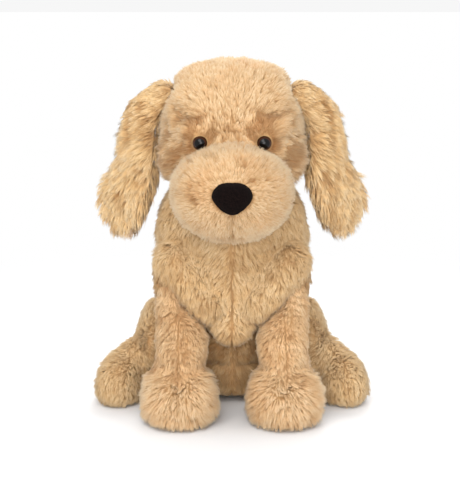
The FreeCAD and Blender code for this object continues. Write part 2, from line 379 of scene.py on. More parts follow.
def strand_cells(count, heights, rings):
    """UVs that give each strand its own cell: across, then root to tip."""
    grid = math.ceil(math.sqrt(count))
    row, column = np.divmod(np.arange(count), grid)
    across = np.array([0.5] + [0.1, 0.5, 0.9] * rings + [0.5])
    u = (column / grid)[:, None] + (0.15 + 0.7 * across) / grid
    v = (row / grid)[:, None] + (0.1 + 0.8 * heights) / grid
    return np.stack([u.ravel(), v.ravel()], 1)


def strand_mesh(name, path, radius, tone, rings, facing):
    """A mesh of strands, lit partly as the cloth they stand on."""
    verts, faces, heights = spindles(path, radius, rings)
    verts[:, 2] = np.maximum(verts[:, 2], FLOOR_CLEARANCE)
    mesh = bpy.data.meshes.new(name)
    mesh.vertices.add(len(verts))
    mesh.loops.add(faces.size)
    mesh.loops.foreach_set("vertex_index", faces.astype(np.int32).ravel())
    mesh.polygons.add(len(faces))
    mesh.polygons.foreach_set("loop_start", np.arange(0, faces.size, 3, dtype=np.int32))
    place(mesh, verts)
    mesh.shade_smooth()
    cells = strand_cells(len(path), heights, rings)[faces.ravel()]
    mesh.uv_layers.new(name="OFBake").data.foreach_set("uv", cells.astype(np.float32).ravel())
    each = len(heights)
    for what, values in (("height", np.tile(heights, len(path))), ("tone", np.repeat(tone, each))):
        mesh.attributes.new(what, "FLOAT", "POINT").data.foreach_set("value", values.astype(np.float32))
    shading = (1 - CLOTH_SHADING) * normals(mesh) + CLOTH_SHADING * np.repeat(facing, each, axis=0)
    mesh.normals_split_custom_set_from_vertices(unit(shading))
    return mesh


@dataclass
class Pile:
    """How one body's pile stands, in millimetres. Length, lean and shade may be functions of points."""
    per_mm2: float
    length: object
    lean: object                  # angle of the strands from upright, in radians
    comb: object                  # function of points: the way the strands lean
    radius: float = 0.2
    tuft: float = 4.5             # distance between tufts
    hold: float = 0.5             # how far a tuft draws its strands together
    wander: float = 0.5           # how far tufts turn from the comb, in radians
    rings: int = 1
    ragged: float = 0.25          # spread of the tufts' lengths
    shade: object = 0.0           # added to the tone, which is 0 for the middle colour


def value_at(field, points, normal):
    return field(points, normal) if callable(field) else np.full(len(points), float(field))


def free_length(points, direction, others, reach):
    """How far a strand can go before it meets another body's cloth."""
    free = np.full(len(points), reach)
    for tree, low, high in others:
        near = ((points > low - reach) & (points < high + reach)).all(1)
        for index in np.flatnonzero(near):
            far = tree.ray_cast(points[index], direction[index], reach)[3]
            if far is not None:
                free[index] = min(free[index], far)
    return free


def buried(points, others):
    """Which points lie inside another body's cloth."""
    inside = np.zeros(len(points), bool)
    for tree, low, high in others:
        for index in np.flatnonzero(((points > low) & (points < high)).all(1)):
            place_on, facing, _, _ = tree.find_nearest(points[index])
            inside[index] |= (Vector(points[index]) - place_on).dot(facing) < 0
    return inside


def grow(cloth, pile, seams, bare, others):
    """Strands for a whole cloth form: places, paths, radii, tones and the cloth's normals."""
    at, normal = sample_cloth(cloth.data, pile.per_mm2)
    keep = ~buried(at, others)
    if bare:
        keep &= ~bare(at, normal)
    at, normal = at[keep], normal[keep]
    comb = pile.comb(at, normal)
    near_seam = np.zeros(len(at))
    for seam in seams:
        close = seam.near(at, PARTING_WIDTH) * seam.parting
        comb = unit(comb)
        comb[:, seam.axis] += np.sign(seam.side(at)) * close * 0.4
        near_seam = np.maximum(near_seam, close)
    comb = unit(comb - normal * (comb * normal).sum(1)[:, None] + 1e-6)

    tufts = max(8, int(len(at) / pile.per_mm2 / pile.tuft ** 2))
    locks = max(16, tufts * 5)
    tuft_middles, tuft = groups(at, tufts)
    lock_middles, lock = groups(at, locks)

    turn = pile.wander * (0.9 * noise(at[tuft_middles], 16) + 0.3 * RNG.normal(size=tufts))[tuft]
    turn = turn + 0.14 * RNG.normal(size=locks)[lock] + 0.08 * RNG.normal(size=len(at))
    comb = comb * np.cos(turn)[:, None] + np.cross(normal, comb) * np.sin(turn)[:, None]
    length = value_at(pile.length, at, normal) * MM * (1 - 0.25 * near_seam)
    length = length * (1 + pile.ragged * RNG.normal(size=tufts)[tuft].clip(-1.5, 1.5) * 0.6
                       + 0.08 * RNG.normal(size=locks)[lock] + 0.06 * RNG.normal(size=len(at)))
    lean = value_at(pile.lean, at, normal)
    lean = lean + 0.12 * RNG.normal(size=tufts)[tuft] + 0.08 * RNG.normal(size=locks)[lock]
    length = np.maximum(length, SHORTEST_PILE)
    free = free_length(at, unit(normal + 0.6 * comb), others, LONGEST_REACH)
    length = np.minimum(length, np.where(free < LONGEST_REACH, free * 0.85, length))
    alive = length > SHORTEST_FREE
    path = curl_path(at, normal, comb, length, lean)

    for middles, hold in ((lock_middles[lock], pile.hold), (tuft_middles[tuft], pile.hold * 0.6)):
        offset = at - at[middles]
        for joint, share in ((1, 0.1), (2, 0.55), (3, 1.0)):
            goal = path[middles, joint] + offset * (1 - 0.8 * share)
            path[:, joint] += (goal - path[:, joint]) * hold * share
    tone = (0.5 * RNG.normal(size=tufts)[tuft] + 0.35 * RNG.normal(size=locks)[lock]
            + 0.25 * RNG.normal(size=len(at)) + 0.8 * noise(at, 22)) * 0.5 - 0.5 * near_seam
    tone = tone + value_at(pile.shade, at, normal)
    radius = pile.radius * MM * (1 + 0.15 * RNG.normal(size=len(at)).clip(-2, 2))
    return at[alive], path[alive], radius[alive], tone[alive], normal[alive]


def attach(piece, body, nodes, finish, blend=None):
    """Finish a piece that stands for CAD nodes and rides a body; given a blend (parent, start, end), it is instead
    left in place with its transform applied, and the blend's values are not used.
    """
    piece.data.materials.clear()
    piece.data.materials.append(finish)
    if blend:
        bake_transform(piece)
    else:
        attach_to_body(piece, body)
    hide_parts(*nodes)


def panel_pieces(body, pile, seams, panels, near, finish, bare=None, blend=None):
    """Grow a cloth form's pile and split it into one piece per sewn panel."""
    others = [TREES[name] for name in near]
    at, path, radius, tone, facing = grow(CLOTH[body], pile, seams, bare, others)
    left_over = np.ones(len(at), bool)
    for node, inside in panels:
        mine = left_over & inside(at)
        left_over &= ~mine
        if mine.any():
            mesh = strand_mesh("pile_" + node, path[mine], radius[mine], tone[mine], pile.rings,
                               facing[mine])
            attach(link(mesh.name, mesh), body, [node], finish, blend)


# ---- materials ----
MIX_FACTOR, MIX_FIRST, MIX_SECOND, MIX_RESULT = 0, 6, 7, 2      # a mix node's sockets for colours
BLACK = (0, 0, 0, 1)
WHITE = (1, 1, 1, 1)


def linear(*channels):
    """A linear colour from 0-255 display values."""
    values = [channel / 255 for channel in channels]
    return (*(v / 12.92 if v < 0.04045 else ((v + 0.055) / 1.055) ** 2.4 for v in values), 1.0)


def scaled(colour, share):
    """A darker or paler colour."""
    return tuple(min(1.0, channel * share) for channel in colour[:3]) + (1.0,)


def new_material(name):
    material = bpy.data.materials.new(name)
    material.use_nodes = True
    return material, material.node_tree, material.node_tree.nodes["Principled BSDF"]


def feed(node, inputs):
    """Set a node's inputs, each to a value or from another node's socket."""
    for key, value in inputs.items():
        if isinstance(value, bpy.types.NodeSocket):
            node.id_data.links.new(value, node.inputs[key])
        else:
            node.inputs[key].default_value = value


def add(tree, kind, inputs=None, **settings):
    """A new node with its settings and inputs."""
    node = tree.nodes.new(kind)
    for key, value in settings.items():
        setattr(node, key, value)
    feed(node, inputs or {})
    return node


def place_in_object(tree):
    return add(tree, "ShaderNodeTexCoord").outputs["Object"]


def cloud(tree, scale, detail=2.0):
    """Noise over the object."""
    inputs = {"Vector": place_in_object(tree), "Scale": scale, "Detail": detail}
    return add(tree, "ShaderNodeTexNoise", inputs).outputs["Fac"]


def bump(tree, height, strength, distance):
    inputs = {"Strength": strength, "Distance": distance, "Height": height}
    return add(tree, "ShaderNodeBump", inputs).outputs["Normal"]


def mix_colour(tree, factor, first, second, blend="MIX"):
    inputs = {MIX_FACTOR: factor, MIX_FIRST: first, MIX_SECOND: second}
    return add(tree, "ShaderNodeMix", inputs, data_type="RGBA", blend_type=blend).outputs[MIX_RESULT]


def ramp(tree, source, *stops):
    """Colours between stops, each a place from 0 to 1 and a colour."""
    node = add(tree, "ShaderNodeValToRGB", {"Fac": source})
    while len(node.color_ramp.elements) < len(stops):
        node.color_ramp.elements.new(0.5)
    for element, (position, colour) in zip(node.color_ramp.elements, stops):
        element.position = position
        element.color = colour
    return node.outputs["Color"]


def pile_material(name, root, tip, pale, patch, contrast):
    """Pile whose strands are deeper at the root and paler at the tip, tuft by tuft."""
    material, tree, shader = new_material(name)
    height, tone = (add(tree, "ShaderNodeAttribute", attribute_name=which).outputs["Fac"]
                    for which in ("height", "tone"))
    along = ramp(tree, height, (0.0, linear(*root)), (0.62, linear(*tip)), (1.0, linear(*pale)))
    level = add(tree, "ShaderNodeMath", {0: tone, 1: contrast, 2: 0.5},
                operation="MULTIPLY_ADD", use_clamp=True).outputs[0]
    shades = ramp(tree, level, (0.0, (0.56, 0.43, 0.31, 1)), (0.3, (0.85, 0.77, 0.67, 1)),
                  (0.55, (0.95, 0.92, 0.87, 1)), (1.0, WHITE))
    colour = mix_colour(tree, 1.0, along, shades, "MULTIPLY")
    patches = ramp(tree, cloud(tree, 32.0), (0.42, BLACK), (0.68, WHITE))
    tinted = mix_colour(tree, 1.0, colour, (*patch, 1), "MULTIPLY")
    feed(shader, {"Base Color": mix_colour(tree, patches, colour, tinted), "Roughness": 0.62,
                  "Specular IOR Level": 0.25, "Sheen Weight": 0.35, "Sheen Roughness": 0.5,
                  "Sheen Tint": (1.0, 0.88, 0.7, 1)})
    return material


def cloth_material(name, colour, thread_scale=900.0, strength=0.3):
    """A knitted or woven cloth: two crossed sets of threads over a soft mottling."""
    material, tree, shader = new_material(name)
    base = linear(*colour)
    mottled = ramp(tree, cloud(tree, 60.0), (0.35, scaled(base, 0.72)), (0.65, base))
    threads = {"Vector": place_in_object(tree), "Scale": thread_scale}
    across, along = (add(tree, "ShaderNodeTexWave", threads, bands_direction=way).outputs["Fac"]
                     for way in ("X", "Z"))
    crossed = add(tree, "ShaderNodeMath", {0: across, 1: along}, operation="MAXIMUM").outputs[0]
    feed(shader, {"Base Color": mottled, "Roughness": 0.9,
                  "Normal": bump(tree, crossed, strength, 0.3 * MM)})
    return material


def grained_material(name, colour, scale, roughness, contrast=0.25, bump_mm=0.0, shine=0.5):
    """A moulded or fibrous material with a fine grain in its colour."""
    material, tree, shader = new_material(name)
    base = linear(*colour)
    grain = cloud(tree, scale, 3.0)
    shades = ramp(tree, grain, (0.35, scaled(base, 1 - contrast)), (0.65, scaled(base, 1 + contrast)))
    feed(shader, {"Base Color": shades, "Roughness": roughness, "Specular IOR Level": shine})
    if bump_mm:
        feed(shader, {"Normal": bump(tree, grain, 0.6, bump_mm * MM)})
    return material


def eye_material():
    """The painted back of an eye seen through its dome: black, with a brown rim."""
    material, tree, shader = new_material("eye_dome")

    def vector(operation, inputs):
        return add(tree, "ShaderNodeVectorMath", inputs, operation=operation)

    folded = vector("ABSOLUTE", {0: place_in_object(tree)}).outputs[0]
    flat = vector("MULTIPLY", {0: folded, 1: (1, 0, 1)}).outputs[0]
    away = vector("DISTANCE", {0: flat, 1: (EYE[0], 0, EYE[2])}).outputs["Value"]
    share = add(tree, "ShaderNodeMath", {0: away, 1: 1 / EYE_RADIUS}, operation="MULTIPLY").outputs[0]
    colour = ramp(tree, share, (0.66, linear(9, 7, 7)), (0.8, linear(64, 35, 21)),
                  (0.97, linear(34, 17, 11)))
    feed(shader, {"Base Color": colour, "Roughness": 0.08, "Specular IOR Level": 0.25})
    return material


PLUSH_COLOURS = {      # root, middle, tip, tint of the patches, contrast between tufts
    "body": ((216, 173, 122), (233, 201, 154), (246, 224, 188), (0.98, 0.95, 0.90), 0.3),
    "face": ((214, 166, 118), (236, 202, 157), (249, 229, 195), (1.0, 0.93, 0.86), 0.42),
    "ear": ((206, 158, 102), (236, 202, 152), (250, 229, 192), (0.98, 0.95, 0.88), 0.5),
    "paw": ((220, 173, 126), (237, 204, 161), (250, 228, 194), (1.0, 0.925, 0.85), 0.36),
}
PLUSH = {name: pile_material(name + "_plush", *look) for name, look in PLUSH_COLOURS.items()}
# the knitted backing, kept a little darker than the pile: partly the cloth's own colour, partly painted shade for
# the gaps between strands
BACKING = cloth_material("knitted_backing", (208, 164, 112))
FINISHES = {
    "fibre_filling": grained_material("fibre_filling", (238, 236, 230), 240.0, 0.95, 0.06, 0.4),
    "pouch_cloth": cloth_material("pouch_cotton", (232, 226, 210)),
    "pellets": grained_material("pellets", (225, 222, 214), 420.0, 0.5, 0.15, 0.8),
    "label_satin": cloth_material("label_satin", (244, 243, 240), 1500.0, 0.15),
    "eye_pupil": grained_material("eye_pupil", (9, 8, 8), 300.0, 0.12),
    "eye_iris": grained_material("eye_iris", (58, 31, 19), 500.0, 0.15),
    "eye_fitting": grained_material("eye_fitting", (222, 218, 208), 260.0, 0.45, 0.05),
    "eye_lens": eye_material(),
    "nose_felt": grained_material("nose_felt", (15, 8, 7), 1300.0, 1.0, 0.7, 0.35, 0.08),
}
for node, slot in SLOTS.items():
    if slot in FINISHES:
        materials = frame["nodes"][node].data.materials
        materials.clear()
        materials.append(FINISHES[slot])


# ---- combing of the pile ----
def rows(x, y, z):
    """Vectors from three columns, each a number or an array."""
    return np.stack(np.broadcast_arrays(*(np.asarray(v, float) for v in (x, y, z))), 1)


def mirror(point, side):
    return point * (side, 1, 1)


def blended(*pairs):
    """Directions mixed by weights, as (weights, directions)."""
    total = 0
    for weight, direction in pairs:
        total = total + np.asarray(weight)[:, None] * unit(direction)
    return unit(total)


def torso_comb(p, n):
    """Down, and outward from the chest seam."""
    x, y, _ = p.T
    away = np.sign(x) * step(60, 0, abs(x)) * step(0, -20, y)
    return rows(0.5 * away, 0.15 * step(0, 30, y), -1.0 + 0 * away)


def from_muzzle(p, grow=1.0):
    """Distance from the muzzle's middle, 1 on its surface."""
    return np.sqrt((((p - MUZZLE) / (MUZZLE_HALF * grow)) ** 2).sum(1))


def in_muzzle(p, grow=1.0):
    """1 well inside the muzzle's form, 0 outside it."""
    return smooth(1.12, 0.9, from_muzzle(p, grow)) * step(22, 0, p[:, 1], MUZZLE[1])


def head_comb(p, n):
    """Away from the nose and eyes, up the brows, back over the crown and down the back."""
    x, y, z = p.T
    side = np.sign(x)
    muzzle = in_muzzle(p)
    crown = smooth(EYE[2] + 8 * MM, CROWN_Z - 18 * MM, z)
    back = step(0, 30, y, SIDE_SEAM_Y)
    cheek = (1 - crown) * (1 - back) * step(22, 40, abs(x))
    brow = (1 - cheek) * (1 - crown) * (1 - back)
    rest = 1 - muzzle
    return blended(
        *((hill(p, eye, 12) * 3, p - eye) for eye in (EYE, mirror(EYE, -1))),
        (muzzle, p - (NOSE + np.array((0, 6 * MM, 0)))),
        (rest * crown, rows(0.5 * side * step(0, 40, abs(x)), 0.8, 0.35)),
        (rest * back, rows(0.2 * side, 0.3, -1.0)),
        (rest * cheek, rows(0.9 * side, 0.35, -0.35)),
        (rest * brow, rows(0.25 * side, -0.1, 0.9)),
    )


def front_leg_comb(side):
    """Down the leg, then out over the paw from its top."""
    paw_top = np.array((side * PAW[0], PAW[1] - 8 * MM, 44 * MM))

    def comb(p, n):
        paw = step(50, 36, p[:, 2])
        from_seam = p[:, 0] - side * LEG_SEAM_X
        away = np.sign(from_seam) * step(20, 0, abs(from_seam))
        return blended((1 - paw, rows(0.15 * away, 0, -1.0)), (paw, p - paw_top))
    return comb


def hind_leg_comb(side):
    """Down and outward over the thigh, then out over the foot from the ankle."""
    ankle = np.array((side * (FOOT[0] - 10 * MM), FOOT[1] + 14 * MM, 52 * MM))
    thigh = np.array((side * HIP[0], HIP[1] + 6 * MM, HIP[2] + 40 * MM))

    def comb(p, n):
        foot = step(24, 2, p[:, 1])
        return blended((1 - foot, (p - thigh) + np.array((0, 0, -0.05))), (foot, p - ankle))
    return comb


def ear_comb(side):
    """Outward at the ear's top, turning down its length and fanning at its edges."""
    def comb(p, n):
        x, _, z = p.T
        fan = (side * x - ear_line(z)) / (26 * MM)
        low = step(-10, -90, z, EAR_ROOT[2])
        out = 1.5 * (1 - low) + 0.32 * low + 0.55 * fan * low
        return rows(side * out, 0.1 * (1 - low), -0.5 - 0.5 * low)
    return comb


def neck_comb(p, n):
    return rows(0 * p[:, 0], 0, -1.0)


def neck_bare(p, n):
    return (p[:, 2] < 181 * MM) | (p[:, 2] > NECK[2] + 46 * MM)


def tail_comb(p, n):
    return rows(0.3 * p[:, 0] / (12 * MM), 1.0, 0.15)


def tail_bare(p, n):
    return p[:, 1] < TAIL_ROOT[1] - 6 * MM


# ---- torso ----
CHEST_V_TIP = 57 * MM
CHEST_V_SLOPE = 1.1


def chest_fold(p):
    """Height above the lower edge of the chest, which drapes to a V between the legs."""
    return p[:, 2] - (CHEST_V_TIP + CHEST_V_SLOPE * abs(p[:, 0]))


def sculpt_torso(p, n):
    x, y, z = p.T
    front = step(-12, -34, y) * step(56, 34, abs(x))
    over = chest_fold(p)
    bulge = 8.5 * MM * bell(over, 13, 15)
    under = -8.0 * MM * bell(over, -8, 9)
    belly = -2.5 * MM * step(0, -25, over)
    neck = 7.0 * MM * step(118, 145, z) * step(30, 50, abs(x))
    flank = -2.5 * MM * step(48, 60, abs(x)) * hill(p[:, 2:], 92 * MM, 26)
    return n * (front * (bulge + under + belly) + neck + flank)[:, None]


def above_base(p):
    return step(0, 10, p[:, 2], BASE_SEAM_Z)


TORSO_SEAMS = [
    Seam(X, 0, above_base, 1.4, 0.4),
    Seam(Y, SIDE_SEAM_Y, above_base, 1.4, 0.45),
    Seam(Z, BELLY_SEAM_Z, lambda p: step(0, -8, p[:, 1], SIDE_SEAM_Y), 3.0, 0.8),
]


def torso_bare(p, n):
    return p[:, 2] > NECK[2] + 38 * MM


def facing_floor(n):
    return smooth(-0.45, -0.8, n[:, 2])


def torso_length(p, n):
    longer = step(-6, 8, chest_fold(p)) * step(0, -30, p[:, 1])
    return 8.0 + 1.5 * longer - 2.0 * facing_floor(n)


def torso_tone_and_painted_shade(p, n):
    """Painted shade under the chest's overhang and between the front legs, and the whole body's pile a little
    darker.
    """
    ahead = step(-10, -30, p[:, 1])
    # painted shade below the chest's fold in front; the -0.3 darkens all of the body's pile evenly
    return -1.3 * ahead * step(3, -8, chest_fold(p)) - 0.3


# ---- head ----
BROW = np.array((28, -50, 247)) * MM
CHEEK = np.array((50, -26, 208)) * MM
SKULL = np.array((0, 4, 238)) * MM
SKULL_HALF = np.array((57, 48, 50)) * MM


def hills(p, at, radius):
    """Hills at a place and at its mirror image."""
    return hill(p, mirror(at, 1), radius) + hill(p, mirror(at, -1), radius)


def brow_crease(p):
    """Height above the crease that runs from ear to ear over the brows."""
    across = abs(p[:, 0])
    line = BROW[2] + 5 * MM - 6 * MM * bell(across - BROW[0], 0, 11)
    line = line + 3 * MM * noise(p, 9)
    return p[:, 2] - (line + 6 * MM * step(34, 56, across))


def on_face(p):
    """1 on the front of the head around the muzzle."""
    return step(-14, -34, p[:, 1]) * (1 - in_muzzle(p, 1.05))


def rounded_back(p):
    """Moves that round off the corners of the back of the head."""
    far = np.sqrt((((p - SKULL) / SKULL_HALF) ** 2).sum(1))
    amount = 0.7 * step(4, 30, p[:, 1]) * (far > 1)
    return (p - SKULL) * (amount * (1 / np.maximum(far, 1) - 1))[:, None]


def sculpt_head(p, n):
    """Brows over a crease, corners over the ears, full cheeks, set-in eyes and a seamed muzzle."""
    x, y, z = p.T
    crease = brow_crease(p)
    brows = bell(abs(x), 34, 15)
    move = on_face(p) * brows * (-6.0 * MM * bell(crease, 0, 3.2) + 4.6 * MM * bell(crease, -9, 6))
    over_ear = np.array((52 * MM, 0, 279 * MM))
    move += 6.5 * MM * hill(rows(abs(x), 0 * crease, z), over_ear, 24)
    move += 4.5 * MM * hills(p, CHEEK, 19) - 2.4 * MM * hills(p, EYE, 11)
    below_nose = step(4, -2, z, NOSE_BOTTOM_Z) * step(-26, -10, z, NOSE_BOTTOM_Z)
    move -= 2.6 * MM * bell(x, 0, 3.5) * in_muzzle(p) * below_nose
    ring = np.exp(-((from_muzzle(p) - 1.03) / 0.07) ** 2) * step(16, -2, y, MUZZLE[1])
    move += -2.0 * MM * ring * (1 - in_muzzle(p) * 0.5)
    moved = n * move[:, None] + rounded_back(p)
    moved[:, 2] += 3 * MM * step(262, 286, z)
    return moved


def gusset_seam(p):
    return (1 - in_muzzle(p, 1.08)) * step(-30, -20, p[:, 1])


def under_nose(p):
    z = p[:, 2]
    return in_muzzle(p) * step(-8, -14, z, NOSE[2]) * step(-36, -24, z, NOSE[2])


HEAD_SEAMS = [
    Seam(X, GUSSET_X, gusset_seam, 0.4, 0.3),
    Seam(X, -GUSSET_X, gusset_seam, 0.4, 0.3),
    Seam(Y, SIDE_SEAM_Y, lambda p: step(-4, 4, abs(p[:, 0]), GUSSET_X), 1.2, 0.35),
    Seam(X, 0, under_nose, 2.0, 0.9),
]


def head_bare(p, n):
    """No pile in the neck's socket, under the eyes or under the nose."""
    toward = NECK - p
    far = np.linalg.norm(toward, axis=1)
    socket = (far < 72 * MM) & ((n * unit(toward)).sum(1) > 0.35)
    eyes = np.hypot(abs(p[:, 0]) - EYE[0], p[:, 2] - EYE[2]) < EYE_RADIUS
    eyes &= p[:, 1] < -20 * MM
    nose = (((p - NOSE)[:, (0, 2)] / (NOSE_HALF[[0, 2]] * 0.9)) ** 2).sum(1) < 1
    nose &= p[:, 1] < MUZZLE[1]
    return socket | eyes | nose


def head_length(p, n):
    """Short on the snout, longer on the skull, and longest on the cheeks and brows."""
    muzzle = in_muzzle(p)
    from_nose = np.linalg.norm(p - NOSE, axis=1)
    snout = 4.6 + 4.0 * step(16, 46, from_nose)
    crown = smooth(EYE[2] + 20 * MM, CROWN_Z - 12 * MM, p[:, 2])
    skull = 8.2 - 1.4 * crown + 3.5 * hills(p, CHEEK, 22) + 1.6 * hills(p, BROW, 12)
    return (muzzle * snout + (1 - muzzle) * skull) * (1 - 0.6 * hills(p, EYE, 10))


def head_lean(p, n):
    muzzle = in_muzzle(p)
    return 0.62 * muzzle + 0.72 * (1 - muzzle) + 0.3 * hills(p, EYE, 11)


def head_tone_and_painted_light(p, n):
    """Painted shade in the brow crease, round the eyes, beside the ears and behind the muzzle's edge, and painted
    light on the lower muzzle; a little paler on the crown, with uneven tufts round the eyes and on the muzzle.
    """
    x, _, z = p.T
    front = on_face(p)
    muzzle = in_muzzle(p)
    shade = 0.1 * smooth(EYE[2] + 22 * MM, CROWN_Z - 10 * MM, z)
    # painted shade in the brow crease
    shade -= 3.8 * front * bell(abs(x), 32, 13) * bell(brow_crease(p), -1, 3.4)
    shade += (1.5 * noise(p, 4.5) - 0.1) * (front * step(30, 4, z, EYE[2]))
    # painted shade on the face beside the ears
    shade -= 1.1 * front * step(38, 54, abs(x)) * step(40, 16, z, EYE[2])
    # painted light on the lower muzzle, standing for light bounced up from the floor
    shade += 0.3 * muzzle * step(8, -14, z, MUZZLE[2])
    shade -= 0.8 * muzzle * smooth(0.15, 0.7, noise(p, 6))
    # painted shade round the eyes
    shade -= 1.3 * hills(p, EYE, 10)
    # painted shade just outside the muzzle, where it meets the face
    shade -= 0.9 * np.exp(-((from_muzzle(p) - 1.08) / 0.1) ** 2) * (1 - muzzle)
    return shade


# ---- ears ----
EAR_HALF_TURN = math.radians(42)
EAR_LINE = np.array([        # height and distance from the dog's middle, down the middle of the ear
    (145, 91.0), (162, 91.5), (178, 89.0), (196, 83.5), (217, 79.5), (240, 76.0), (251, 71.5),
    (262, 67.5), (273, 59.5)]) * MM


def ear_line(z):
    return np.interp(z, EAR_LINE[:, 0], EAR_LINE[:, 1])


def ear_middle(side, z):
    return rows(side * ear_line(z), EAR_ROOT[1], z)


def ear_thick(side):
    """The direction through the ear, toward its outer face."""
    return np.array((-side * math.sin(EAR_HALF_TURN), math.cos(EAR_HALF_TURN), 0))


def make_ear_form(name, panels, side):
    """The ear's two CAD panels closed into one cloth form, thinned to leave room for its pile."""
    piece = form_from(name, panels, (), 3 * MM, 6)
    p = coords(piece.data)
    z = p[:, 2]
    root = EAR_ROOT[2]
    wide = np.array((side * math.cos(EAR_HALF_TURN), math.sin(EAR_HALF_TURN), 0))
    thick = ear_thick(side)
    middle = ear_middle(side, z)
    u = (p - middle) @ wide
    v = (p - middle) @ thick
    low = step(-8, -34, z, root)
    half = np.maximum(abs(u), 1e-6)
    narrow = np.maximum(half - 7 * MM * step(2, 18, half), 0.35 * half)
    u = np.sign(u) * (half + (narrow - half) * low)
    v = v * (1 - 0.62 * low) * (1 - 0.35 * (1 - low))
    v -= 3.0 * MM * (u / (24 * MM)) ** 2 * low
    middle[:, 0] -= side * (4.5 * MM * hill(p[:, 2:], root - 34 * MM, 42))
    moved = middle + wide * u[:, None] + thick * v[:, None]
    shoulder = step(-62, -34, z, root) * (1 - 0.45 * step(-12, 6, z, root))
    moved[:, 0] += side * 4 * MM * shoulder * step(-8, 8, u)
    lifted = z + 4.5 * MM * smooth(root - 70 * MM, EAR_LINE[0, 0], z)
    moved[:, 2] = lifted - (3 + 3 * step(0, 14, u)) * MM * step(-28, 2, z, root)
    place(piece.data, moved)
    return piece


def ear_length(p, n):
    return 7.5 + 7.0 * step(-4, -40, p[:, 2], EAR_ROOT[2])


def ear_shade(p, n):
    """Uneven from lock to lock, in streaks that run down the ear."""
    return 0.9 * noise(p * np.array((1.0, 1.0, 0.3)), 4.5) - 0.05


# ---- legs ----
def to_floor(p, middle, reach):
    """Moves that spread the bottom of a foot and bring it down to the floor."""
    low = step(24, 9, p[:, 2])[:, None]
    out = rows(p[:, 0] - middle[0], p[:, 1] - middle[1], 0)
    far = np.linalg.norm(out, axis=1, keepdims=True)
    return low * (unit(out) * reach * np.minimum(1, far / (14 * MM)) + np.array((0, 0, -reach)))


def sculpt_front_leg(side):
    """A slim leg with a gathered ankle over a full round paw."""
    def sculpt(p, n):
        x, y, z = p.T
        ankle = -3.5 * MM * bell(z, 48, 8) * step(-50, -70, y)
        gather = -5.0 * MM * hill(p, np.array((side * PAW[0], -90 * MM, 37 * MM)), 7)
        toes = 1.2 * MM * step(-58, -76, y) * bell(z, 24, 16)
        moved = n * (ankle + gather + toes)[:, None]
        moved[:, 0] -= 0.13 * (x - side * (PAW[0] + 1 * MM))
        moved += to_floor(p, (side * PAW[0], PAW[1]), 2.5 * MM)
        inner = step(6, -14, side * x, LEG_SEAM_X)
        moved[:, 0] += side * 8 * MM * inner * step(66, 90, z) * step(114, 98, z)
        moved[:, 0] -= side * 2.5 * MM * step(46, 60, z) * step(96, 80, z)
        return moved
    return sculpt


def front_leg_seams(side):
    return [Seam(X, side * LEG_SEAM_X, lambda p: smooth(PAW[2], 30 * MM, p[:, 2]), 2.0, 0.7),
            Seam(Z, SOLE_TOP, None, 0.6, 0.25)]


def front_leg_length(p, n):
    return 7.6 + 3.0 * step(48, 36, p[:, 2]) - 5.0 * facing_floor(n)


def front_leg_lean(p, n):
    return 1.0 - 0.25 * step(48, 36, p[:, 2])


def front_leg_shade(p, n):
    return -0.55 + 0.6 * step(44, 32, p[:, 2])


def sculpt_hind_leg(side):
    """A thigh drawn in beside the body, and a foot spread on the floor."""
    def sculpt(p, n):
        out = side * p[:, 0]
        z = p[:, 2]
        ankle = np.array((side * FOOT[0], FOOT[1] + 22 * MM, 44 * MM))
        toes = np.array((side * (FOOT[0] + 4 * MM), FOOT[1] - 26 * MM, 20 * MM))
        thigh = -3.5 * MM * step(52, 72, z) * step(62, 74, out) - 3.0 * MM * step(90, 108, out)
        moved = n * (-2.0 * MM * hill(p, ankle, 13) + 1.0 * MM * hill(p, toes, 16))[:, None]
        moved[:, 0] += side * thigh
        moved += (out > 66 * MM)[:, None] * to_floor(p, (side * FOOT[0], FOOT[1]), 4 * MM)
        moved[:, 2] += 1.0 * MM * step(26, 38, z) * step(80, 92, out)
        return moved
    return sculpt


def hind_leg_seams(side):
    return [Seam(Z, SOLE_TOP, None, 0.6, 0.25),
            Seam(X, side * HIP[0], lambda p: step(30, 44, p[:, 2]), 1.6, 0.5)]


def hind_leg_length(p, n):
    return 7.2 + 1.2 * step(20, -5, p[:, 1]) - 3.0 * facing_floor(n)


# ---- build the cloth forms ----
CLOTH = {}


def padded(body, balls=(), sculpt=None, seams=(), voxel=VOXEL, blend=None, form=None, nodes=None):
    """One stuffed cloth form: sculpted, swollen, seamed and rounded, and riding its body unless it is given a
    blend.
    """
    nodes = nodes or (body + "_stuffing",)
    piece = form or form_from("cloth_" + body, nodes, balls, voxel)
    if sculpt:
        points = coords(piece.data)
        place(piece.data, points + sculpt(points, normals(piece.data)))
    swell(piece, seams)
    refine(piece)
    points = coords(piece.data)
    points[:, 2] = np.maximum(points[:, 2], FLOOR_CLEARANCE)
    place(piece.data, points)
    attach(piece, body, nodes, BACKING, blend)
    CLOTH[body] = piece


def leg_blend(side):
    x, y, z = mirror(SHOULDER, side)
    return "torso", (x, y, z + 12 * MM), (x, y - 4 * MM, z - 12 * MM)


def ear_blend(side):
    x, y, z = mirror(EAR_ROOT, side)
    return "head", (x, y, z + 5 * MM), (side * (EAR_ROOT[0] + 10 * MM), y, z - 12 * MM)


def shoulder_fill(side):
    """Filling between the chest and a front leg: ball places from the shoulder, and radii."""
    balls = (((0, 4, 0), 19), ((-3, 2, 12), 21), ((-16, 0, 10), 21), ((-20, -5, -7), 18))
    return [(mirror(SHOULDER, side) + np.array((x * side, y, z)) * MM, radius * MM)
            for (x, y, z), radius in balls]


def ankle_fill(side):
    """Filling that joins the foot to the thigh."""
    hip = mirror(HIP, side)
    foot = np.array((side * FOOT[0], FOOT[1], FOOT[2] - 4 * MM))
    return [(hip + (foot - hip) * share, 15 * MM) for share in (0.45, 0.7)]


